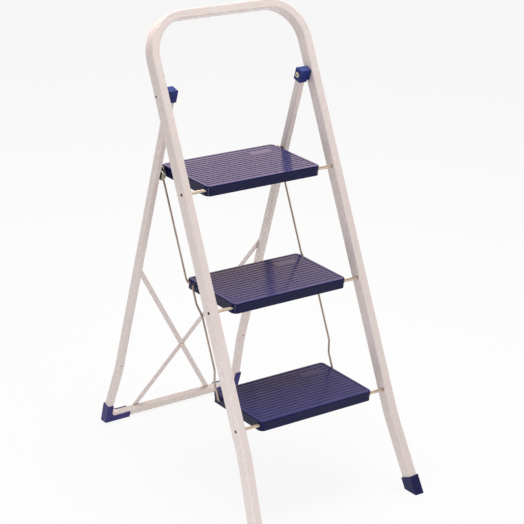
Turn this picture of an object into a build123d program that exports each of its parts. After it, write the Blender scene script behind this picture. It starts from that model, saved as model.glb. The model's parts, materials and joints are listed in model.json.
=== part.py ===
from build123d import *
import os
from math import cos, hypot, radians, sin, tan

# A folding step ladder, open. X runs across, +Y to the rear and Z up.
# The origin is on the floor, under the middle of the ladder's box.

# Driving dimensions, in millimetres and degrees
STEP_PITCH = 250.0
FIRST_ROD_HEIGHT = 235.0
FRONT_LEAN = 26.3
REAR_LEAN = 14.55
SPLAY = 5.0

FRAME_WIDTH = 462.0
FRONT_WIDTH, FRONT_DEPTH, FRONT_CORNER = 22.0, 33.0, 4.0
HOOP_REACH = 1242.0
HOOP_RADIUS = 108.0
FRONT_END = 12.0
FRONT_BEND, FRONT_BEND_RADIUS = 195.0, 500.0
TUBE_WALL = 1.5

PIVOT_REACH = 1051.8
PIVOT_BEHIND = 7.5
BOLT_RADIUS = 3.0

REAR_WIDTH, REAR_DEPTH, REAR_CORNER = 17.0, 19.0, 3.0
REAR_SPACING = 382.0
REAR_TOP = 10.0
REAR_BEND, REAR_BEND_RADIUS = 805.0, 120.0
CROSS_BAR = 956.5
CROSS_BAR_RADIUS = 36.0
DRAIN_HOLE_RADIUS, DRAIN_HOLE_PLACE = 2.2, 788.0

FOOT_WALL, FOOT_HEIGHT, FOOT_CORNER = 1.9, 27.0, 1.2
SHOE_WALL, SHOE_TOP, SHOE_END, SHOE_OUTER = 2.2, 917.0, 137.0, 210.0
SHOE_WINDOW_FOOT, SHOE_WINDOW_RISE, SHOE_WINDOW_ROUND, SHOE_WINDOW_MARGIN = 953.0, 2.0, 14.0, 1.0
SEAT_GAP = 0.05
RUNNING_GAP = 0.1
FREE_GAP = 0.3

ROD_RADIUS, ROD_BORE_RADIUS = 4.0, 3.1
ROD_AHEAD = 4.5
ROD_RECESS = 1.0
REAR_ROD_RADIUS, REAR_ROD_BEVEL = 2.5, 0.5
REAR_ROD_REACH = 182.0

TREAD_WIDTH, TREAD_DEPTH, TREAD_HEIGHT = 334.0, 198.0, 25.0
TREAD_FRONT_CORNER, TREAD_REAR_CORNER = 14.0, 12.0
ROD_FROM_FRONT, ROD_FROM_TOP = 12.0, 12.0
REAR_ROD_FROM_BACK, REAR_ROD_FROM_TOP = 18.0, 8.0
HOOK_FROM_BACK, HOOK_FROM_TOP = 35.0, 10.0
RIM_HEIGHT, RIM_ROUND, RIM_OVERHANG = 9.0, 3.0, 1.2
SKIRT_WALL, TOP_WALL = 2.6, 3.0
FIELD_DEPTH, FIELD_BORDER, FIELD_CORNER = 0.9, 8.5, 7.0
GRIP_RIBS, GRIP_PITCH, GRIP_WIDTH, GRIP_HEIGHT, GRIP_TAPER = 14, 12.1, 5.6, 0.8, 25.0
GRIP_END_GAP = 3.5
PAD_WIDTH, PAD_DEPTH, PAD_FROM_SIDE, PAD_FROM_BACK = 64.0, 25.0, 68.0, 40.0
STIFFENER_WALL, STIFFENER_DROP = 2.2, 14.0
STIFFENERS_ALONG = (49.0, 98.0, 147.0)
STIFFENER_SPACING, STIFFENERS_ACROSS = 60.0, 5
BOSS_LENGTH, BOSS_WALL = 7.0, 3.0
HOOK_RELIEF_RADIUS, HOOK_WALL = 5.2, 1.4

WIRE_RADIUS = 2.4
WIRE_LANE = 173.0
WIRE_BEND, WIRE_SOFT_BEND = 4.5, 14.0
PEG_REACH = 158.0
EYE_RADIUS, EYE_TURN = 5.0, 255.0
UPPER_JOG = 12.0
LOWER_JOG_START, LOWER_JOG_END, LOWER_BOW = 44.0, 74.0, 13.5

CAP_WALL, CAP_ABOVE, CAP_BELOW, CAP_ROUND = 2.6, 15.5, 16.0, 2.0
CAP_FLANGE, CAP_NOTCH_TOP, CAP_FLANGE_FOOT = 4.0, 3.0, 11.0
BOLT_HEAD_RADIUS, BOLT_HEAD, BOLT_HEAD_BEVEL, BOLT_BORE_RADIUS, BOLT_BORE = 7.0, 2.4, 1.0, 2.5, 14.0

BRACE_TOP, BRACE_FOOT, BRACE_BEHIND = 500.0, 112.0, 6.3
BRACE_WIDTH, BRACE_THICKNESS = 12.5, 3.0
RIVET_RADIUS, RIVET_HEAD_RADIUS, RIVET_HEAD, RIVET_BEVEL = 2.0, 4.5, 1.4, 0.8

CATCH_THICKNESS, CATCH_TOP, CATCH_BOTTOM, CATCH_FRONT = 3.0, 205.0, 228.5, 21.0
CATCH_FLOOR, CATCH_LIP_SLOPE, CATCH_BACK_INSET = 4.0, 2.5, 0.5
CATCH_TIP_ROUND, CATCH_FRONT_ROUND, CATCH_FOOT_ROUND, CATCH_HEEL_ROUND = 1.5, 2.0, 9.0, 4.0
CATCH_LIP_GAP = 0.45
CATCH_FLANGE, CATCH_FLANGE_WALL, CATCH_FLANGE_TOP, CATCH_FLANGE_FOOT = 3.4, 2.4, 210.0, 219.0

# Where the two frames stand: the front tube and the rear tube meet the floor at these places along Y
lean, rear_lean, splay = radians(FRONT_LEAN), radians(REAR_LEAN), radians(SPLAY)
pivot_from_front = PIVOT_REACH * sin(lean) + PIVOT_BEHIND * cos(lean)
pivot_height = PIVOT_REACH * cos(lean) - PIVOT_BEHIND * sin(lean)
rear_from_front = pivot_from_front + pivot_height * tan(rear_lean)
front_toe = (FRONT_DEPTH / 2 + FOOT_WALL) / cos(lean)
rear_heel = (REAR_DEPTH / 2 + SHOE_WALL) / cos(rear_lean)
front_floor_y = (front_toe - rear_from_front - rear_heel) / 2
pivot_y = front_floor_y + pivot_from_front

# In the front plane, local Y runs up the front legs and local Z points to the front.
# In the rear plane the origin is the pivot, local Y runs up the rear legs and local Z points to the front.
front_plane = Plane(origin=(0, front_floor_y, 0), x_dir=(1, 0, 0), z_dir=(0, -cos(lean), sin(lean)))
rear_plane = Plane(
    origin=(0, pivot_y, pivot_height), x_dir=(1, 0, 0), z_dir=(0, -cos(rear_lean), -sin(rear_lean))
)
floor_reach = pivot_height / cos(rear_lean)

front_leg_x = (FRAME_WIDTH - FRONT_WIDTH) / 2
front_inner_x = FRAME_WIDTH / 2 - FRONT_WIDTH
rear_leg_x = REAR_SPACING / 2
rear_inner_x = rear_leg_x - REAR_WIDTH / 2
rear_outer_x = rear_leg_x + REAR_WIDTH / 2


def rod_place(step):
    """Y and Z of the front rod of a step, counted from the bottom."""
    height = FIRST_ROD_HEIGHT + step * STEP_PITCH
    along = (height - ROD_AHEAD * sin(lean)) / cos(lean)
    return front_floor_y + along * sin(lean) - ROD_AHEAD * cos(lean), height


def tread_plane(step):
    """Plane on a tread's top, with its origin at the middle of the front edge."""
    rod_y, rod_z = rod_place(step)
    return Plane(origin=(0, rod_y - ROD_FROM_FRONT, rod_z + ROD_FROM_TOP))


def rear_rod_place(step):
    """Y and Z of the rear rod hole of a step."""
    front_edge = tread_plane(step).origin
    return front_edge.Y + TREAD_DEPTH - REAR_ROD_FROM_BACK, front_edge.Z - REAR_ROD_FROM_TOP


def hook_place(step):
    """Y and Z of the hole for the lower links' hooks."""
    front_edge = tread_plane(step).origin
    return front_edge.Y + TREAD_DEPTH - HOOK_FROM_BACK, front_edge.Z - HOOK_FROM_TOP


def across(y, z, start=0.0):
    """Plane that looks along +X, at one place of Y and Z."""
    return Plane(origin=(start, y, z), x_dir=(0, 1, 0), z_dir=(1, 0, 0))


def tube_profile(width, depth, corner):
    """Section of a rectangular tube, rounded outside."""
    with BuildSketch() as section:
        RectangleRounded(depth, width, corner)
        Rectangle(depth - 2 * TUBE_WALL, width - 2 * TUBE_WALL, mode=Mode.SUBTRACT)
    return section.sketch


def socket_profile(width, depth):
    """Section of a socket for a tube, a little wider than the tube."""
    with BuildSketch() as section:
        Rectangle(depth + 2 * SEAT_GAP, width + 2 * SEAT_GAP)
    return section.sketch


def bent_bar(plane, points, radii, section):
    """A section swept along a bent line in a plane."""
    with BuildPart() as bar:
        with BuildLine(plane) as path:
            FilletPolyline(*points, radius=radii)
        end = Plane(origin=path.line @ 0, x_dir=plane.z_dir, z_dir=path.line % 0)
        with BuildSketch(end):
            add(section)
        sweep(path=path.wires()[0])
    return bar.part


def round_bar(plane, radius, length):
    """Round bar that starts on a plane."""
    with BuildPart() as bar:
        with BuildSketch(plane):
            Circle(radius)
        extrude(amount=length)
    return bar.part


def cross_bores(places, radius):
    """Round bars right across the ladder, to be cut from a piece as bores."""
    return [round_bar(across(y, z, -FRAME_WIDTH), radius, 2 * FRAME_WIDTH) for y, z in places]


def write(part, name):
    part.label = name
    export_step(part, f"parts/{name}.step")


def write_pair(part, name):
    """Writes a piece of the right side, and its mirror image for the left."""
    write(part, f"{name}_right")
    write(part.mirror(Plane.YZ), f"{name}_left")


# Front frame: an inverted U with a hoop on top, its feet splayed outwards
front_foot_x = front_leg_x + (FRONT_BEND - FRONT_END) * tan(splay)
hoop_line = HOOP_REACH - FRONT_WIDTH / 2
front_half = [(front_foot_x, FRONT_END), (front_leg_x, FRONT_BEND), (front_leg_x, hoop_line)]
front_points = [(-x, along) for x, along in front_half] + front_half[::-1]
front_radii = [FRONT_BEND_RADIUS, HOOP_RADIUS - FRONT_WIDTH / 2]
rods = [rod_place(step) for step in range(3)]
pivot_place = (pivot_y, pivot_height)


def make_front_tube():
    section = tube_profile(FRONT_WIDTH, FRONT_DEPTH, FRONT_CORNER)
    bent = bent_bar(front_plane, front_points, front_radii + front_radii[::-1], section)
    bores = cross_bores(rods, ROD_RADIUS) + cross_bores([pivot_place], BOLT_RADIUS)
    with BuildPart() as tube:
        add(bent)
        add(bores, mode=Mode.SUBTRACT)
    return tube.part


def make_front_foot():
    """Sleeve on the splayed tube end, with a flat sole on the floor."""
    leg = Plane(
        origin=front_plane.from_local_coords((front_foot_x, FRONT_END, 0)),
        x_dir=front_plane.z_dir,
        z_dir=front_plane.from_local_coords((-sin(splay), cos(splay), 0)) - front_plane.origin,
    )
    outer = (FRONT_DEPTH + 2 * FOOT_WALL, FRONT_WIDTH + 2 * FOOT_WALL, FOOT_CORNER)
    socket = socket_profile(FRONT_WIDTH, FRONT_DEPTH)
    sole_reach = FRONT_END + FRONT_DEPTH * tan(lean)
    with BuildPart() as foot:
        with BuildSketch(leg.offset(-sole_reach)):
            RectangleRounded(*outer)
        extrude(amount=sole_reach + FOOT_HEIGHT)
        split(bisect_by=Plane.XY, keep=Keep.TOP)
        with BuildSketch(leg):
            add(socket)
        extrude(amount=FOOT_HEIGHT, mode=Mode.SUBTRACT)
    return foot.part


def make_front_rod(step):
    """Thick-walled tube across the frame, open at both ends."""
    half = FRAME_WIDTH / 2 - ROD_RECESS
    with BuildPart() as rod:
        with BuildSketch(across(*rods[step], -half)):
            Circle(ROD_RADIUS)
            Circle(ROD_BORE_RADIUS, mode=Mode.SUBTRACT)
        extrude(amount=2 * half)
    return rod.part


# The cap sits on the end of the rear leg, and its flange reaches out to the front leg
cap_inner_x = rear_inner_x - CAP_WALL
cap_outer_x = rear_outer_x + CAP_WALL
cap_flange_x = front_inner_x - FREE_GAP


def make_pivot_bolt():
    """Tubular rivet: open head on the cap, shank through the rear leg, hollow end in the front leg."""
    head_x = cap_inner_x - FREE_GAP
    head_face_x = head_x - BOLT_HEAD
    tail_x = FRAME_WIDTH / 2 - ROD_RECESS
    with BuildPart() as bolt:
        with BuildSketch(across(*pivot_place, head_face_x)):
            Circle(BOLT_HEAD_RADIUS)
        extrude(amount=BOLT_HEAD)
        chamfer(bolt.edges().sort_by(Axis.X)[0], BOLT_HEAD_BEVEL)
        with BuildSketch(across(*pivot_place, head_x)):
            Circle(BOLT_RADIUS)
        extrude(amount=tail_x - head_x)
        for start, length in ((head_face_x, BOLT_BORE), (tail_x, -BOLT_BORE)):
            with BuildSketch(across(*pivot_place, start)):
                Circle(BOLT_BORE_RADIUS)
            extrude(amount=length, mode=Mode.SUBTRACT)
    return bolt.part


# Rear frame: a U with splayed legs and a cross bar close to the floor
bar_top = CROSS_BAR - REAR_WIDTH / 2
rear_foot_x = rear_leg_x + (CROSS_BAR - REAR_BEND) * tan(splay)
rear_half = [(rear_leg_x, REAR_TOP), (rear_leg_x, -REAR_BEND), (rear_foot_x, -CROSS_BAR)]
rear_points = [(-x, along) for x, along in rear_half] + rear_half[::-1]
rear_radii = [REAR_BEND_RADIUS, CROSS_BAR_RADIUS, CROSS_BAR_RADIUS, REAR_BEND_RADIUS]


def make_rear_tube():
    bent = bent_bar(rear_plane, rear_points, rear_radii, tube_profile(REAR_WIDTH, REAR_DEPTH, REAR_CORNER))
    bores = cross_bores([pivot_place], BOLT_RADIUS + RUNNING_GAP)
    with BuildPart() as tube:
        add(bent)
        add(bores, mode=Mode.SUBTRACT)
        with BuildSketch(rear_plane):
            with Locations((-rear_leg_x, -DRAIN_HOLE_PLACE), (rear_leg_x, -DRAIN_HOLE_PLACE)):
                Circle(DRAIN_HOLE_RADIUS)
        extrude(amount=REAR_DEPTH, mode=Mode.SUBTRACT)
    return tube.part


def make_hinge_cap():
    """Closed sleeve with a flange; a round-topped notch parts the flange from the sleeve below the bolt."""
    flange_inner_x = cap_flange_x - CAP_FLANGE
    notch_top = (cap_outer_x + flange_inner_x) / 2, -CAP_NOTCH_TOP + (flange_inner_x - cap_outer_x) / 2
    half_depth = REAR_DEPTH / 2 + CAP_WALL
    leg_end = rear_plane.from_local_coords((rear_leg_x, REAR_TOP, 0))
    socket_plane = Plane(leg_end, x_dir=rear_plane.z_dir, z_dir=-rear_plane.y_dir)
    socket = socket_profile(REAR_WIDTH, REAR_DEPTH)
    bores = cross_bores([pivot_place], BOLT_RADIUS + RUNNING_GAP)
    with BuildPart() as cap:
        with BuildSketch(rear_plane.offset(-half_depth)):
            with BuildLine():
                Line((cap_outer_x, -CAP_BELOW), (cap_outer_x, -CAP_NOTCH_TOP))
                ThreePointArc(
                    (cap_outer_x, -CAP_NOTCH_TOP), notch_top, (flange_inner_x, -CAP_NOTCH_TOP)
                )
                Polyline(
                    (flange_inner_x, -CAP_NOTCH_TOP),
                    (flange_inner_x, -CAP_FLANGE_FOOT),
                    (cap_flange_x, -CAP_FLANGE_FOOT),
                    (cap_flange_x, CAP_ABOVE),
                    (cap_inner_x, CAP_ABOVE),
                    (cap_inner_x, -CAP_BELOW),
                    (cap_outer_x, -CAP_BELOW),
                )
            make_face()
        extrude(amount=2 * half_depth)
        top_edges = cap.faces().sort_by(Axis(rear_plane.origin, rear_plane.y_dir))[-1].edges()
        fillet(top_edges, CAP_ROUND)
        with BuildSketch(socket_plane):
            add(socket)
        extrude(amount=REAR_TOP + CAP_BELOW, mode=Mode.SUBTRACT)
        add(bores, mode=Mode.SUBTRACT)
    return cap.part


def make_rear_foot():
    """Corner shoe: back, outer, lower and front walls round the tube's corner, open on the inside."""
    half_width = REAR_WIDTH / 2 / cos(splay)
    half_depth = REAR_DEPTH / 2 + SHOE_WALL
    sole_reach = floor_reach + half_depth * tan(rear_lean)
    top_x = rear_leg_x + (SHOE_TOP - REAR_BEND) * tan(splay)
    inner_corner_x = rear_leg_x + (bar_top - REAR_BEND) * tan(splay) - half_width
    window_x, window_end_x = inner_corner_x - SHOE_WINDOW_MARGIN, SHOE_END - SHOE_WINDOW_MARGIN
    window_top = SHOE_TOP - SHOE_WINDOW_MARGIN
    cavity = bent_bar(rear_plane, rear_points, rear_radii, socket_profile(REAR_WIDTH, REAR_DEPTH))
    with BuildPart() as shoe:
        with BuildSketch(rear_plane.offset(-half_depth)):
            with BuildLine():
                FilletPolyline(
                    (inner_corner_x, -bar_top),
                    (top_x - half_width, -SHOE_TOP),
                    (top_x + half_width + SHOE_WALL, -SHOE_TOP),
                    (SHOE_OUTER, -sole_reach),
                    (SHOE_END, -sole_reach),
                    (SHOE_END, -bar_top),
                    radius=[CROSS_BAR_RADIUS - REAR_WIDTH / 2, 0, 0, 0, 0, 0],
                    close=True,
                )
            make_face()
        extrude(amount=2 * half_depth)
        split(bisect_by=Plane.XY, keep=Keep.TOP)
        add(cavity, mode=Mode.SUBTRACT)
        with BuildSketch(rear_plane.offset(REAR_DEPTH / 2)):
            with BuildLine():
                FilletPolyline(
                    (window_x, -SHOE_WINDOW_FOOT),
                    (window_x, -window_top),
                    (window_end_x, -window_top),
                    (window_end_x, -SHOE_WINDOW_FOOT + SHOE_WINDOW_RISE),
                    radius=[SHOE_WINDOW_ROUND, 0, 0, 0],
                    close=True,
                )
            make_face()
        extrude(amount=2 * SHOE_WALL, mode=Mode.SUBTRACT)
    return shoe.part


# X brace: two flat bars from the legs' inner faces down to the cross bar, one in front of the other.
# They touch in a plane behind the middle of the tubes.
brace_run = rear_inner_x + BRACE_FOOT
brace_drop = bar_top - BRACE_TOP
brace_length = hypot(brace_run, brace_drop)
crossing_along = BRACE_TOP + brace_drop * rear_inner_x / brace_run
crossing_plane = Plane(
    rear_plane.from_local_coords((0, -crossing_along, -BRACE_BEHIND)),
    x_dir=rear_plane.x_dir,
    z_dir=rear_plane.z_dir,
)


def make_brace_bar(ahead):
    """Bar from the right leg to the left part of the cross bar, cut to lie flat on both."""
    top_cut = BRACE_WIDTH / 2 * brace_length / brace_run
    foot_cut = BRACE_WIDTH / 2 * brace_length / brace_drop
    with BuildPart() as bar:
        with BuildSketch(rear_plane.offset(ahead - BRACE_BEHIND)):
            with BuildLine():
                Polyline(
                    (rear_inner_x, -BRACE_TOP + top_cut),
                    (rear_inner_x, -BRACE_TOP - top_cut),
                    (-BRACE_FOOT + foot_cut, -bar_top),
                    (-BRACE_FOOT - foot_cut, -bar_top),
                    close=True,
                )
            make_face()
        extrude(amount=BRACE_THICKNESS)
        with BuildSketch(crossing_plane.offset(ahead)):
            Circle(RIVET_RADIUS)
        extrude(amount=BRACE_THICKNESS, mode=Mode.SUBTRACT)
    return bar.part


def make_brace_rivet():
    """Rivet through both bars, with a bevelled head on each side."""
    with BuildPart() as rivet:
        for start in (-BRACE_THICKNESS - RIVET_HEAD, BRACE_THICKNESS):
            with BuildSketch(crossing_plane.offset(start)):
                Circle(RIVET_HEAD_RADIUS)
            extrude(amount=RIVET_HEAD)
        ends = rivet.edges().group_by(Axis(crossing_plane.origin, crossing_plane.z_dir))
        chamfer(ends[0] + ends[-1], RIVET_BEVEL)
        with BuildSketch(crossing_plane.offset(-BRACE_THICKNESS)):
            Circle(RIVET_RADIUS)
        extrude(amount=2 * BRACE_THICKNESS)
    return rivet.part


def make_catch_plate():
    """Hook plate on the rear leg's inner face: a floor and a front lip round the rear rod."""
    plate_plane = Plane(
        origin=rear_plane.from_local_coords((rear_inner_x, 0, 0)),
        x_dir=rear_plane.z_dir,
        z_dir=(-1, 0, 0),
    )
    rod = plate_plane.to_local_coords(Vector(rear_inner_x, *rear_rod_place(2)))
    seat = rod.Y - REAR_ROD_RADIUS - FREE_GAP
    lip = rod.X + REAR_ROD_RADIUS + CATCH_LIP_GAP
    back = -REAR_DEPTH / 2 + CATCH_BACK_INSET
    flange_x = CATCH_FRONT - CATCH_FLANGE_WALL / 2
    flange_middle = (CATCH_FLANGE_TOP + CATCH_FLANGE_FOOT) / 2
    with BuildPart() as plate:
        with BuildSketch(plate_plane):
            with BuildLine():
                FilletPolyline(
                    (back, seat),
                    (lip, seat),
                    (lip, -CATCH_TOP),
                    (CATCH_FRONT, -CATCH_TOP - CATCH_LIP_SLOPE),
                    (CATCH_FRONT, -CATCH_BOTTOM),
                    (lip, -CATCH_BOTTOM),
                    (back, seat - CATCH_FLOOR),
                    radius=[
                        0, 0, CATCH_TIP_ROUND, CATCH_FRONT_ROUND, CATCH_FOOT_ROUND, CATCH_HEEL_ROUND, 0
                    ],
                    close=True,
                )
            make_face()
        extrude(amount=CATCH_THICKNESS)
        with BuildSketch(plate_plane.offset(CATCH_THICKNESS)):
            with Locations((flange_x, -flange_middle)):
                Rectangle(CATCH_FLANGE_WALL, CATCH_FLANGE_FOOT - CATCH_FLANGE_TOP)
        extrude(amount=CATCH_FLANGE)
    return plate.part


def tread_outline(inset):
    """Tread seen from above: larger corners in front than at the rear."""
    with BuildSketch() as outline:
        with Locations((0, TREAD_DEPTH / 2)):
            Rectangle(TREAD_WIDTH - 2 * inset, TREAD_DEPTH - 2 * inset)
        front_corners = outline.vertices().group_by(Axis.Y)[0]
        fillet(front_corners, TREAD_FRONT_CORNER - inset)
        rear_corners = outline.vertices().group_by(Axis.Y)[-1]
        fillet(rear_corners, TREAD_REAR_CORNER - inset)
    return outline.sketch


def make_tread(step):
    """Hollow moulding: ribbed field inside a rounded rim, skirt below, stiffeners and bosses underneath."""
    top = tread_plane(step)
    under = -FIELD_DEPTH - TOP_WALL
    skirt_inset = RIM_OVERHANG + SKIRT_WALL
    inner_x = TREAD_WIDTH / 2 - skirt_inset
    field_middle = (0, TREAD_DEPTH / 2)
    field_width = TREAD_WIDTH - 2 * FIELD_BORDER
    first_stiffener, last_stiffener = STIFFENERS_ALONG[0], STIFFENERS_ALONG[-1]
    rim, skirt, hollow = (tread_outline(inset) for inset in (0, RIM_OVERHANG, skirt_inset))
    hook = hook_place(step)
    bosses = [(rod_place(step), ROD_RADIUS + RUNNING_GAP), (rear_rod_place(step), REAR_ROD_RADIUS)]
    holes = bosses + [(hook, WIRE_RADIUS + RUNNING_GAP)]
    bores = [bore for place, radius in holes for bore in cross_bores([place], radius)]
    relief_x = TREAD_WIDTH / 2 - RIM_OVERHANG - HOOK_WALL
    relief = round_bar(across(*hook, -relief_x), HOOK_RELIEF_RADIUS, 2 * relief_x)
    with BuildPart() as tread:
        with BuildSketch(top):
            add(rim)
        extrude(amount=-RIM_HEIGHT)
        fillet(tread.faces().sort_by(Axis.Z)[-1].edges(), RIM_ROUND)
        with BuildSketch(top.offset(-RIM_HEIGHT)):
            add(skirt)
        extrude(amount=RIM_HEIGHT - TREAD_HEIGHT)
        with BuildSketch(top.offset(under)):
            add(hollow)
        extrude(amount=-TREAD_HEIGHT - under, mode=Mode.SUBTRACT)
        with BuildSketch(top):
            with Locations(field_middle):
                RectangleRounded(field_width, TREAD_DEPTH - 2 * FIELD_BORDER, FIELD_CORNER)
        extrude(amount=-FIELD_DEPTH, mode=Mode.SUBTRACT)
        with BuildSketch(top.offset(-FIELD_DEPTH)):
            with Locations(field_middle):
                with GridLocations(0, GRIP_PITCH, 1, GRIP_RIBS):
                    Rectangle(field_width - 2 * GRIP_END_GAP, GRIP_WIDTH)
        extrude(amount=GRIP_HEIGHT, taper=GRIP_TAPER)
        with BuildSketch(top.offset(-FIELD_DEPTH)):
            with Locations((TREAD_WIDTH / 2 - PAD_FROM_SIDE, TREAD_DEPTH - PAD_FROM_BACK)):
                Rectangle(PAD_WIDTH, PAD_DEPTH)
        extrude(amount=GRIP_HEIGHT)
        with BuildSketch(top.offset(under)):
            with Locations([(0, along) for along in STIFFENERS_ALONG]):
                Rectangle(2 * inner_x, STIFFENER_WALL)
            with Locations((0, (first_stiffener + last_stiffener) / 2)):
                with GridLocations(STIFFENER_SPACING, 0, STIFFENERS_ACROSS, 1):
                    Rectangle(STIFFENER_WALL, last_stiffener - first_stiffener)
        extrude(amount=-STIFFENER_DROP)
        for place, radius in bosses:
            for start, length in ((-inner_x, BOSS_LENGTH), (inner_x, -BOSS_LENGTH)):
                with BuildSketch(across(*place, start)):
                    Circle(radius + BOSS_WALL)
                extrude(amount=length)
        add(bores + [relief], mode=Mode.SUBTRACT)
    return tread.part


def make_rear_rod():
    with BuildPart() as rod:
        with BuildSketch(across(*rear_rod_place(2), -REAR_ROD_REACH)):
            Circle(REAR_ROD_RADIUS)
        extrude(amount=2 * REAR_ROD_REACH)
        chamfer(rod.edges().filter_by(GeomType.CIRCLE), REAR_ROD_BEVEL)
    return rod.part


# Links: bent wires beside the treads.
# In a lane plane, local X points to the rear and local Y up the front legs.
link_drop = STEP_PITCH / cos(lean)
peg_depth = PEG_REACH - WIRE_LANE


def lane_plane(place):
    return Plane(origin=(WIRE_LANE, *place), x_dir=-front_plane.z_dir, z_dir=(1, 0, 0))


def sweep_wire(path):
    """Round wire along a path."""
    with BuildPart() as wire:
        with BuildSketch(Plane(origin=path @ 0, z_dir=path % 0)):
            Circle(WIRE_RADIUS)
        sweep(path=path)
    return wire.part


def make_link_upper():
    """Eye round the top step's rear rod, straight run behind it, and a peg into the middle tread."""
    with BuildLine(lane_plane(rear_rod_place(2))) as path:
        FilletPolyline(
            (0, -link_drop, peg_depth),
            (0, -link_drop, 0),
            (EYE_RADIUS, -link_drop + UPPER_JOG, 0),
            (EYE_RADIUS, 0, 0),
            radius=[WIRE_BEND, WIRE_SOFT_BEND],
        )
        CenterArc((0, 0), EYE_RADIUS, 0, EYE_TURN)
    return sweep_wire(path.wires()[0])


def make_link_lower():
    """Hooked at both ends, with the middle run bowed to the front."""
    with BuildLine(lane_plane(hook_place(1))) as path:
        FilletPolyline(
            (0, 0, peg_depth),
            (0, 0, 0),
            (0, -LOWER_JOG_START, 0),
            (-LOWER_BOW, -LOWER_JOG_END, 0),
            (-LOWER_BOW, LOWER_JOG_END - link_drop, 0),
            (0, LOWER_JOG_START - link_drop, 0),
            (0, -link_drop, 0),
            (0, -link_drop, peg_depth),
            radius=[WIRE_BEND] + 4 * [WIRE_SOFT_BEND] + [WIRE_BEND],
        )
    return sweep_wire(path.wires()[0])


os.makedirs("parts", exist_ok=True)

write(make_front_tube(), "front_tube")
write_pair(make_front_foot(), "front_foot")
write_pair(make_pivot_bolt(), "pivot_bolt")
write(make_rear_tube(), "rear_tube")
write_pair(make_hinge_cap(), "hinge_cap")
write_pair(make_rear_foot(), "rear_foot")
write(make_brace_bar(-BRACE_THICKNESS), "brace_bar_right")
write(make_brace_bar(0).mirror(Plane.YZ), "brace_bar_left")
write(make_brace_rivet(), "brace_rivet")
write_pair(make_catch_plate(), "catch_plate")
for step, word in enumerate(("bottom", "middle", "top")):
    write(make_front_rod(step), f"front_rod_{word}")
    write(make_tread(step), f"tread_{word}")
write(make_rear_rod(), "rear_rod")
write_pair(make_link_upper(), "link_upper")
write_pair(make_link_lower(), "link_lower")
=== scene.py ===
import json
import math

import bmesh
import bpy
from mathutils import Matrix, Vector


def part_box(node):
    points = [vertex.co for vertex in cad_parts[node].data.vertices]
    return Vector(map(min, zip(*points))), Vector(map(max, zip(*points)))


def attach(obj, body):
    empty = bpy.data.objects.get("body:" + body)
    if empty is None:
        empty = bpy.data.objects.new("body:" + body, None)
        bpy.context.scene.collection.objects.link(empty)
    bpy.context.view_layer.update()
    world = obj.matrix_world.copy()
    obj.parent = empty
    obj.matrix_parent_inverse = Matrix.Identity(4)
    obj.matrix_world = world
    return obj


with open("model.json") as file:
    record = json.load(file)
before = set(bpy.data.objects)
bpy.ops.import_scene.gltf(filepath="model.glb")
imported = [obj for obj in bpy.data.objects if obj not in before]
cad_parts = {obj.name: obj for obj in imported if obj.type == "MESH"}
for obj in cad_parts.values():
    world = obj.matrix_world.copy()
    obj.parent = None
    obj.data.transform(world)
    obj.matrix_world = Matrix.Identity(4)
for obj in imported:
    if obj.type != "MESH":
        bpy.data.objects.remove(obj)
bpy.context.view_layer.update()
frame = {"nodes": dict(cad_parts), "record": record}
nodes = frame["nodes"]

# Axes of the frame: to the right, to the back and up
X_AXIS, Y_AXIS, Z_AXIS = range(3)

# Camera of the photograph: place and reach in metres, angles in degrees, focal length in pixels of the photo
PHOTO_PIXELS = 524
CAMERA_PLACE = (-2.4408, -3.2122, 2.0939)
CAMERA_YAW, CAMERA_PITCH, CAMERA_ROLL = 37.31, -21.23, 2.69
CAMERA_REACH = 200.0
FOCAL_PIXELS = 1796.9
SENSOR_MM = 36.0

# Colours, as linear values
PAINT = (0.80, 0.715, 0.69)
PAINT_SHADE = (0.77, 0.68, 0.65)
# Darker, warmer paint for rubbed edges and towards the floor
PAINT_DARKER_WARMER = (0.74, 0.63, 0.565)
# Painted shade: dark brown that the paint takes in corners closed in by nearby parts
PAINT_CORNER_SHADE = (0.20, 0.17, 0.14)
NAVY = (0.002, 0.003, 0.044)
NAVY_SCUFF = (0.058, 0.058, 0.160)
# Paler navy for upward faces of the treads: wear, and a painted sheen of the light from above
NAVY_TOP_SHEEN_AND_WEAR = (0.044, 0.043, 0.174)
CAP_BLUE = (0.014, 0.026, 0.175)
# Painted light: lighter blue for the upward faces of the hinge caps
CAP_BLUE_LIT_TOP = (0.050, 0.075, 0.280)
SHOE_BLUE = (0.034, 0.026, 0.190)
# Painted shade: darker copy of the fitting blue for the front feet near the floor
FOOT_BLUE_SHADED = (0.009, 0.010, 0.085)
ROD_ZINC = (0.84, 0.69, 0.55)
WIRE_ZINC = (0.46, 0.36, 0.30)
CATCH_ZINC = (0.56, 0.51, 0.42)
BOLT_ZINC = (0.70, 0.65, 0.56)
# Painted shade: brown darkening deep in the holes of steel parts
HOLE_SHADE_BROWN = (0.050, 0.032, 0.022)
FLOOR = (0.93, 0.93, 0.93)
SKY_FRONT = (0.75, 0.735, 0.715)
SKY_BACK = (2.10, 1.60, 1.40)
SKY_ZENITH = (0.30, 0.29, 0.29)
WHITE_LIGHT = (1.0, 1.0, 1.0)
WARM_LIGHT = (1.0, 0.93, 0.85)
COOL_LIGHT = (0.90, 0.93, 1.0)

# Share of its brightness that a colour keeps in the patches of the fittings and in the marks on steel
PATCH_SHARE, MARK_SHARE = 0.7, 0.72

# Strength of the mirror-like reflection of paint and plastic, and how far the roughness of steel varies
PAINT_SPECULAR, PLASTIC_SPECULAR = 0.5, 0.2
STEEL_ROUGHNESS_SPREAD = 0.14

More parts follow.
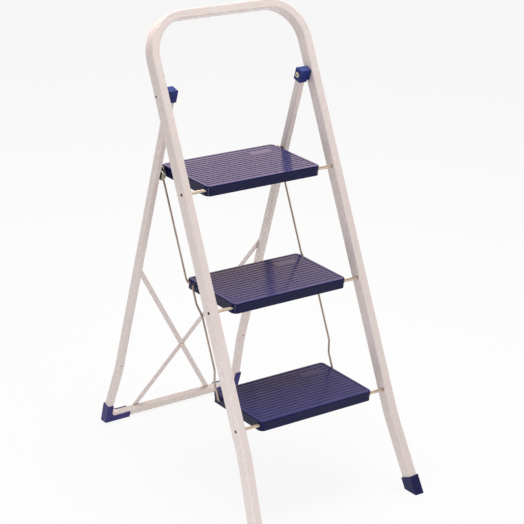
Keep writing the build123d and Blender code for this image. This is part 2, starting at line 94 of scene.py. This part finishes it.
# Radius of the rubbed edges, reach of the painted shade in corners and holes, and height below which the
# paint turns darker and warmer towards the floor, in metres
PAINT_EDGE, TREAD_EDGE, FITTING_EDGE = 0.0015, 0.0010, 0.0012
CORNER_SHADE_REACH, HOLE_SHADE_REACH = 0.010, 0.012
DARKER_PAINT_HEIGHT = 0.10

# Cosines of the turn of a surface at which an edge begins and at which it is in full
EDGE_START, EDGE_FULL = 0.97, 0.80

# Values that most of a noise lies between
NOISE_LOW, NOISE_HIGH = 0.3, 0.7

# Scales of the coordinates for an even noise, and for one drawn out along the rods, the wires or the ribs
EVEN = (1.0, 1.0, 1.0)
ALONG_RODS = (0.05, 1.0, 1.0)
ALONG_WIRES = (1.0, 0.2, 0.1)
ALONG_RIBS = (1.0, 5.0, 1.0)

# Sockets of a mix node that hold its two colours and its result
MIX_FIRST, MIX_SECOND, MIX_RESULT = 6, 7, 2

# Floor: half its width in metres, and the share of its look that is a white glow of its own
FLOOR_HALF = 60.0
FLOOR_GLOW = 0.87

# Parts of a unit direction, away from the camera and then upwards, between which the sky changes colour
SKY_BACK_START, SKY_BACK_FULL = 0.3, 0.8
SKY_ZENITH_START, SKY_ZENITH_FULL = 0.31, 0.46

# Welds and rivet heads on the rear frame, in metres
WELD_RADIUS, WELD_RIPPLE, WELD_PITCH, WELD_STEP = 0.0012, 0.00022, 0.0018, 0.0004
WELD_SIDES = 8
BAR_END_DEPTH, SAME_POINT = 0.001, 0.0001
PLATE_THICKNESS = 0.003
RIVET_RADIUS, RIVET_HEIGHT, RIVET_FROM_BACK = 0.0030, 0.0013, 0.0085
RIVET_RINGS, RIVET_SIDES = 6, 24


# Nodes and materials
class NodeTree:
    """Short calls that add nodes to a node tree."""

    def __init__(self, tree):
        self.tree = tree

    def node(self, kind, **settings):
        made = self.tree.nodes.new(kind)
        for key, value in settings.items():
            setattr(made, key, value)
        return made

    def link(self, source, target):
        self.tree.links.new(source, target)

    def parts(self, vector):
        """The parts of a vector along X, Y and Z."""
        separated = self.node("ShaderNodeSeparateXYZ")
        self.link(vector, separated.inputs["Vector"])
        return separated.outputs

    def ramp(self, source, low, high, start=0.0, end=1.0, curve="LINEAR"):
        """A value that goes from start to end, as the source goes from low to high."""
        mapped = self.node("ShaderNodeMapRange", interpolation_type=curve)
        self.link(source, mapped.inputs["Value"])
        mapped.inputs["From Min"].default_value = low
        mapped.inputs["From Max"].default_value = high
        mapped.inputs["To Min"].default_value = start
        mapped.inputs["To Max"].default_value = end
        return mapped.outputs["Result"]

    def combine(self, operation, first, second):
        """A calculation on a node's output and either another output or a number."""
        worked = self.node("ShaderNodeMath", operation=operation)
        self.link(first, worked.inputs[0])
        if isinstance(second, float):
            worked.inputs[1].default_value = second
        else:
            self.link(second, worked.inputs[1])
        return worked.outputs[0]

    def mix(self, factor, first, second):
        """A colour between two, each given as a colour or as a node's output."""
        mixed = self.node("ShaderNodeMix", data_type="RGBA")
        self.link(factor, mixed.inputs["Factor"])
        for socket, colour in ((MIX_FIRST, first), (MIX_SECOND, second)):
            if isinstance(colour, tuple):
                mixed.inputs[socket].default_value = (*colour, 1.0)
            else:
                self.link(colour, mixed.inputs[socket])
        return mixed.outputs[MIX_RESULT]


class Surface(NodeTree):
    """A node material with one shader, and the patterns that the materials share."""

    def __init__(self, name, values):
        self.material = bpy.data.materials.new(name)
        self.material.use_nodes = True
        super().__init__(self.material.node_tree)
        self.shader = self.tree.nodes["Principled BSDF"]
        for socket, value in values.items():
            self.shader.inputs[socket].default_value = value

    def feed(self, socket, source):
        self.link(source, self.shader.inputs[socket])

    def place(self, stretch=EVEN):
        """Coordinates of the object in metres, scaled along its axes."""
        mapping = self.node("ShaderNodeMapping")
        mapping.inputs["Scale"].default_value = stretch
        self.link(self.node("ShaderNodeTexCoord").outputs["Object"], mapping.inputs["Vector"])
        return mapping.outputs["Vector"]

    def noise(self, scale, detail=3.0, roughness=0.5, stretch=EVEN):
        texture = self.node("ShaderNodeTexNoise")
        texture.inputs["Scale"].default_value = scale
        texture.inputs["Detail"].default_value = detail
        texture.inputs["Roughness"].default_value = roughness
        self.link(self.place(stretch), texture.inputs["Vector"])
        return texture.outputs["Fac"]

    def height(self):
        """Height of the point above the floor, in metres, with the ladder standing."""
        return self.parts(self.place())["Z"]

    def upward(self):
        """How far the surface faces along the object's own Z axis, from -1 to 1."""
        return self.parts(self.node("ShaderNodeTexCoord").outputs["Normal"])["Z"]

    def edges(self, radius, wear):
        """The given wear on the edges of the piece, and 0 away from them."""
        rounded = self.node("ShaderNodeBevel")
        rounded.inputs["Radius"].default_value = radius
        turn = self.node("ShaderNodeVectorMath", operation="DOT_PRODUCT")
        self.link(rounded.outputs["Normal"], turn.inputs[0])
        self.link(self.node("ShaderNodeNewGeometry").outputs["Normal"], turn.inputs[1])
        return self.combine("MULTIPLY", self.ramp(turn.outputs["Value"], EDGE_START, EDGE_FULL), wear)

    def occlusion_shade(self, reach, open_share, closed_share):
        """Mask for painted shade from ambient occlusion: from 0 where the open share of the surroundings is
        clear to 1 where only the closed share is.
        """
        shade = self.node("ShaderNodeAmbientOcclusion")
        shade.inputs["Distance"].default_value = reach
        return self.ramp(shade.outputs["AO"], open_share, closed_share)

    def uneven_gloss(self, scale, smoothest, roughest, detail=3.0):
        """Roughness that wanders between two values."""
        patches = self.noise(scale, detail)
        self.feed("Roughness", self.ramp(patches, NOISE_LOW, NOISE_HIGH, smoothest, roughest))

    def bump(self, height, strength, distance):
        bumped = self.node("ShaderNodeBump")
        bumped.inputs["Strength"].default_value = strength
        bumped.inputs["Distance"].default_value = distance
        self.link(height, bumped.inputs["Height"])
        self.feed("Normal", bumped.outputs["Normal"])


def darker(colour, share):
    """The colour with a share of its brightness."""
    return tuple(share * value for value in colour)


def paint():
    """Gloss paint on steel tube: faint orange peel, darker and warmer on rubbed edges and towards the floor,
    with painted shade in corners.
    """
    surface = Surface("frame_paint", {"Specular IOR Level": PAINT_SPECULAR})
    patches = surface.ramp(surface.noise(scale=4.0, detail=2.0), low=0.35, high=0.75)
    clean = surface.mix(patches, PAINT, PAINT_SHADE)
    scratches = surface.noise(scale=40.0, detail=5.0, roughness=0.7)
    rubbed = surface.edges(PAINT_EDGE, surface.ramp(scratches, low=0.50, high=0.70, end=0.25))
    edged = surface.mix(rubbed, clean, PAINT_DARKER_WARMER)
    # The paint turns darker and warmer towards the floor
    near_floor = surface.ramp(surface.height(), low=DARKER_PAINT_HEIGHT, high=0.0, end=0.35)
    darker_near_floor = surface.mix(near_floor, edged, PAINT_DARKER_WARMER)
    # Painted shade: the paint turns dark brown where ambient occlusion finds a corner closed in
    corners = surface.occlusion_shade(CORNER_SHADE_REACH, open_share=0.75, closed_share=0.40)
    surface.feed("Base Color", surface.mix(corners, darker_near_floor, PAINT_CORNER_SHADE))
    surface.uneven_gloss(scale=60.0, smoothest=0.26, roughest=0.28)
    surface.bump(surface.noise(scale=420.0, detail=1.0), strength=0.012, distance=0.0003)
    return surface.material


def tread_plastic():
    """Gloss moulded plastic: paler on top, partly wear and partly a painted sheen of the light from above,
    light scuffs along the ribs, fine grain, uneven gloss.
    """
    surface = Surface("tread_plastic", {"Specular IOR Level": PLASTIC_SPECULAR})
    # Upward faces turn paler: wear, and a painted sheen of the light from above
    top_sheen_and_wear = surface.mix(surface.ramp(surface.upward(), low=0.6, high=0.95), NAVY, NAVY_TOP_SHEEN_AND_WEAR)
    streaks = surface.noise(scale=55.0, detail=6.0, roughness=0.65, stretch=ALONG_RIBS)
    scuffed = surface.mix(surface.ramp(streaks, low=0.58, high=0.80, end=0.5), top_sheen_and_wear, NAVY_SCUFF)
    scratches = surface.noise(scale=90.0, detail=4.0)
    rubbed = surface.edges(TREAD_EDGE, surface.ramp(scratches, low=0.40, high=0.65, start=0.1, end=0.5))
    surface.feed("Base Color", surface.mix(rubbed, scuffed, NAVY_SCUFF))
    surface.uneven_gloss(scale=30.0, smoothest=0.12, roughest=0.20, detail=4.0)
    surface.bump(surface.noise(scale=1500.0, detail=1.0), strength=0.04, distance=0.0002)
    return surface.material


def fitting_plastic(name, colour, lit_top_colour):
    """Moulded plastic with a fine grain, patchy at the sides, with painted light on top and rubbed along its
    edges.
    """
    surface = Surface(name, {"Specular IOR Level": PLASTIC_SPECULAR})
    patches = surface.ramp(surface.noise(scale=70.0), low=0.35, high=0.7)
    sides = surface.mix(patches, colour, darker(colour, PATCH_SHARE))
    # Painted light: upward faces take the lighter top colour, as if lit from above
    clean = surface.mix(surface.ramp(surface.upward(), low=0.3, high=0.9), sides, lit_top_colour)
    scratches = surface.noise(scale=160.0, detail=5.0, roughness=0.7)
    rubbed = surface.edges(FITTING_EDGE, surface.ramp(scratches, low=0.40, high=0.65, start=0.1, end=0.8))
    surface.feed("Base Color", surface.mix(rubbed, clean, NAVY_SCUFF))
    surface.uneven_gloss(scale=120.0, smoothest=0.22, roughest=0.36)
    surface.bump(surface.noise(scale=1200.0, detail=1.0), strength=0.06, distance=0.0002)
    return surface.material


def plated_steel(name, colour, smoothest, stretch=EVEN):
    """Zinc-plated steel with fine marks, which the stretch can draw out, and painted brown shade deep in its
    holes.
    """
    surface = Surface(name, {"Metallic": 1.0})
    marks = surface.noise(scale=300.0, detail=4.0, roughness=0.6, stretch=stretch)
    marked = surface.mix(surface.ramp(marks, low=0.35, high=0.7), colour, darker(colour, MARK_SHARE))
    # Painted shade: brown darkening deep in holes, where ambient occlusion finds them closed in
    holes = surface.occlusion_shade(HOLE_SHADE_REACH, open_share=0.80, closed_share=0.50)
    surface.feed("Base Color", surface.mix(holes, marked, HOLE_SHADE_BROWN))
    surface.uneven_gloss(scale=90.0, smoothest=smoothest, roughest=smoothest + STEEL_ROUGHNESS_SPREAD)
    surface.bump(marks, strength=0.08, distance=0.0003)
    return surface.material


def floor_material():
    """Pale floor that keeps a soft shadow, nearly white to the camera and in reflections."""
    look = {"Base Color": (*FLOOR, 1.0), "Roughness": 0.9, "Specular IOR Level": 0.0}
    surface = Surface("floor_pale", look)
    rays = surface.node("ShaderNodeLightPath").outputs
    seen = surface.combine("MAXIMUM", rays["Is Camera Ray"], rays["Is Glossy Ray"])
    blend = surface.node("ShaderNodeMixShader")
    surface.link(surface.combine("MULTIPLY", seen, FLOOR_GLOW), blend.inputs["Fac"])
    surface.link(surface.shader.outputs["BSDF"], blend.inputs[1])
    surface.link(surface.node("ShaderNodeEmission").outputs["Emission"], blend.inputs[2])
    surface.link(blend.outputs["Shader"], surface.tree.nodes["Material Output"].inputs["Surface"])
    return surface.material


SLOT_LOOKS = {
    "frame_paint": paint(),
    "tread_plastic": tread_plastic(),
    "plated_rod": plated_steel("plated_rod", ROD_ZINC, smoothest=0.26, stretch=ALONG_RODS),
    "plated_wire": plated_steel("plated_wire", WIRE_ZINC, smoothest=0.32, stretch=ALONG_WIRES),
    "catch_steel": plated_steel("catch_steel", CATCH_ZINC, smoothest=0.4),
}
NODE_LOOKS = {
    "pivot_bolt": plated_steel("bright_zinc", BOLT_ZINC, smoothest=0.35),
    "hinge_cap": fitting_plastic("cap_plastic", CAP_BLUE, CAP_BLUE_LIT_TOP),
    "rear_foot": fitting_plastic("shoe_plastic", SHOE_BLUE, SHOE_BLUE),
    # The front feet take a darker copy of the fitting blue as painted shade near the floor
    "front_foot": fitting_plastic("foot_plastic_shaded", FOOT_BLUE_SHADED, FOOT_BLUE_SHADED),
}
for entry in frame["record"]["subparts"]:
    kind = entry["node"].rpartition("_")[0]
    slots = nodes[entry["node"]].data.materials
    slots.clear()
    slots.append(NODE_LOOKS[kind] if kind in NODE_LOOKS else SLOT_LOOKS[entry["material_slot"]])


# Small details that ride on the rear frame
def add_piece(name, shape, material):
    bmesh.ops.recalc_face_normals(shape, faces=shape.faces)
    mesh = bpy.data.meshes.new(name)
    shape.to_mesh(mesh)
    shape.free()
    mesh.shade_smooth()
    mesh.materials.append(material)
    piece = bpy.data.objects.new(name, mesh)
    bpy.context.scene.collection.objects.link(piece)
    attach(piece, "rear_frame")


def add_ring(shape, middle, radius, side, up, count):
    """Points of a circle round the middle, in the plane of two directions."""
    ring = []
    for turn in range(count):
        angle = math.tau * turn / count
        ring.append(shape.verts.new(middle + radius * (math.cos(angle) * side + math.sin(angle) * up)))
    return ring


def join_rings(shape, ring, following):
    """Band of four-sided faces between two rings with the same number of points."""
    for turn in range(len(ring)):
        after = (turn + 1) % len(ring)
        shape.faces.new((ring[turn], ring[after], following[after], following[turn]))


def end_corners(bar, axis, end):
    """Corners of a bar's end, in order round it: the mesh points furthest out along an axis."""
    points = [vertex.co for vertex in bar.data.vertices]
    furthest = end(point[axis] for point in points)
    found = []
    for point in points:
        at_end = abs(point[axis] - furthest) < BAR_END_DEPTH
        if at_end and all((point - other).length > SAME_POINT for other in found):
            found.append(point.copy())
    middle = sum(found, Vector()) / len(found)
    across = [other for other in (X_AXIS, Y_AXIS, Z_AXIS) if other != axis]
    return sorted(found, key=lambda point: math.atan2(*((point - middle)[other] for other in across)))


def add_weld(name, corners):
    """Rippled bead of weld along the closed line through the corners."""
    line = []
    for start, stop in zip(corners, corners[1:] + corners[:1]):
        count = max(1, round((stop - start).length / WELD_STEP))
        line += [start.lerp(stop, step / count) for step in range(count)]
    shape = bmesh.new()
    rings = []
    for index, point in enumerate(line):
        along = (line[(index + 1) % len(line)] - line[index - 1]).normalized()
        side = along.orthogonal().normalized()
        radius = WELD_RADIUS + WELD_RIPPLE * math.sin(math.tau * index * WELD_STEP / WELD_PITCH)
        rings.append(add_ring(shape, point, radius, side, along.cross(side), WELD_SIDES))
    for ring, following in zip(rings, rings[1:] + rings[:1]):
        shift = min(range(WELD_SIDES), key=lambda turn: (following[turn].co - ring[0].co).length)
        join_rings(shape, ring, following[shift:] + following[:shift])
    add_piece(name, shape, SLOT_LOOKS["frame_paint"])


def add_rivet(name, plate, inward):
    """Domed rivet head on the inner face of a catch plate."""
    low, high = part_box(plate)
    inner = (high if inward < 0 else low)[X_AXIS] + inward * PLATE_THICKNESS
    place = Vector((inner, high[Y_AXIS] - RIVET_FROM_BACK, (low[Z_AXIS] + high[Z_AXIS]) / 2))
    rise = Vector((inward * RIVET_HEIGHT, 0.0, 0.0))
    back = Vector((0.0, 1.0, 0.0))
    up = Vector((0.0, 0.0, 1.0))
    shape = bmesh.new()
    rings = []
    for step in range(RIVET_RINGS):
        angle = math.pi / 2 * step / RIVET_RINGS
        middle = place + math.sin(angle) * rise
        rings.append(add_ring(shape, middle, RIVET_RADIUS * math.cos(angle), back, up, RIVET_SIDES))
    tip = shape.verts.new(place + rise)
    for ring, following in zip(rings, rings[1:]):
        join_rings(shape, ring, following)
    for turn in range(RIVET_SIDES):
        shape.faces.new((rings[-1][turn], rings[-1][(turn + 1) % RIVET_SIDES], tip))
    shape.faces.new(rings[0])
    add_piece(name, shape, NODE_LOOKS["pivot_bolt"])


for side, outermost, inward in (("left", min, 1), ("right", max, -1)):
    bar = nodes["brace_bar_" + side]
    add_weld("weld_leg_" + side, end_corners(bar, X_AXIS, outermost))
    add_weld("weld_bar_" + side, end_corners(bar, Z_AXIS, min))
    add_rivet("catch_rivet_" + side, "catch_plate_" + side, inward)


# Floor, light and camera
def add_floor():
    signs = ((-1, -1), (1, -1), (1, 1), (-1, 1))
    mesh = bpy.data.meshes.new("floor")
    mesh.from_pydata([(x * FLOOR_HALF, y * FLOOR_HALF, 0) for x, y in signs], [], [(0, 1, 2, 3)])
    mesh.materials.append(floor_material())
    floor = bpy.data.objects.new("floor", mesh)
    bpy.context.scene.collection.objects.link(floor)


def add_area_light(name, place, target, size, power, colour):
    lamp = bpy.data.lights.new(name, "AREA")
    lamp.size = size
    lamp.energy = power
    lamp.color = colour
    light = bpy.data.objects.new(name, lamp)
    light.location = place
    light.rotation_euler = (Vector(target) - Vector(place)).to_track_quat("-Z", "Y").to_euler()
    bpy.context.scene.collection.objects.link(light)


def add_lights():
    """Four soft lamps, with places and sizes in metres and power in watts."""
    middle = (0.0, 0.0, 0.6)
    upper_end = (0.0, 0.0, 1.1)
    bottom_step = (-0.1, -0.2, 0.2)
    add_area_light("key", (0.5, -2.2, 2.4), upper_end, size=1.2, power=12.0, colour=WARM_LIGHT)
    add_area_light("fill", (2.6, -1.2, 1.8), middle, size=2.0, power=1.0, colour=WARM_LIGHT)
    add_area_light("low", (-1.0, -0.8, 0.2), bottom_step, size=0.6, power=3.4, colour=COOL_LIGHT)
    add_area_light("top", (0.15, 0.4, 3.1), middle, size=2.2, power=58.0, colour=WHITE_LIGHT)


def add_world():
    """A studio with a bright warm backdrop behind the ladder, plainer in front and dim overhead."""
    world = bpy.data.worlds.new("studio")
    world.use_nodes = True
    sky = NodeTree(world.node_tree)
    turned = sky.node("ShaderNodeVectorRotate", rotation_type="Z_AXIS")
    turned.inputs["Angle"].default_value = math.radians(CAMERA_YAW)
    sky.link(sky.node("ShaderNodeTexCoord").outputs["Generated"], turned.inputs["Vector"])
    direction = sky.parts(turned.outputs["Vector"])
    behind = sky.ramp(direction["Y"], SKY_BACK_START, SKY_BACK_FULL, curve="SMOOTHSTEP")
    overhead = sky.ramp(direction["Z"], SKY_ZENITH_START, SKY_ZENITH_FULL, curve="SMOOTHSTEP")
    colour = sky.mix(overhead, sky.mix(behind, SKY_FRONT, SKY_BACK), SKY_ZENITH)
    sky.link(colour, sky.tree.nodes["Background"].inputs["Color"])
    bpy.context.scene.world = world


def add_camera():
    yaw, pitch, roll = (math.radians(angle) for angle in (CAMERA_YAW, CAMERA_PITCH, CAMERA_ROLL))
    forward = Vector((math.sin(yaw) * math.cos(pitch), math.cos(yaw) * math.cos(pitch), math.sin(pitch)))
    level = Vector((math.cos(yaw), -math.sin(yaw), 0.0))
    upright = level.cross(forward)
    right = math.cos(roll) * level + math.sin(roll) * upright
    up = right.cross(forward)
    turn = Matrix((right, up, -forward)).transposed()
    lens = bpy.data.cameras.new("photo_camera")
    lens.sensor_width = SENSOR_MM
    lens.lens = FOCAL_PIXELS / PHOTO_PIXELS * SENSOR_MM
    lens.clip_end = CAMERA_REACH
    camera = bpy.data.objects.new("photo_camera", lens)
    camera.matrix_world = Matrix.Translation(CAMERA_PLACE) @ turn.to_4x4()
    bpy.context.scene.collection.objects.link(camera)
    bpy.context.scene.camera = camera


add_floor()
add_world()
add_lights()
add_camera()
bpy.context.scene.view_settings.view_transform = "Standard"
